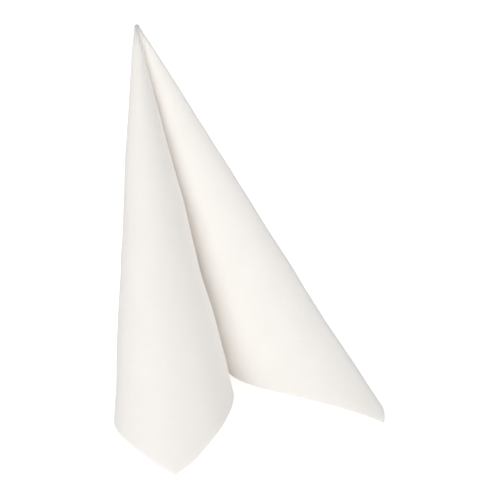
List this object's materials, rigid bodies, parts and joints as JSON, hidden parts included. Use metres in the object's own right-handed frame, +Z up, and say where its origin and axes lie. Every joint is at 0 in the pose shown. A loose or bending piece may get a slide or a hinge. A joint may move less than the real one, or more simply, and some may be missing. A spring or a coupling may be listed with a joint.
{
  "type": "paper napkin",
  "caption": "Square white paper napkin folded in half and stood up as two hollow cones that meet at one tip, parted by a crease.",
  "frame": {"origin": "the point on the table straight below the napkin's tip", "axes": "+Z up from the table; the napkin's front, where its two cones part, faces -Y and +X"},
  "size_m": [0.1518, 0.2158, 0.1957],
  "materials": {
    "tissue": "matt soft white airlaid tissue"
  },
  "bodies": {
    "root": {"napkin": "tissue"}
  },
  "joints": []
}
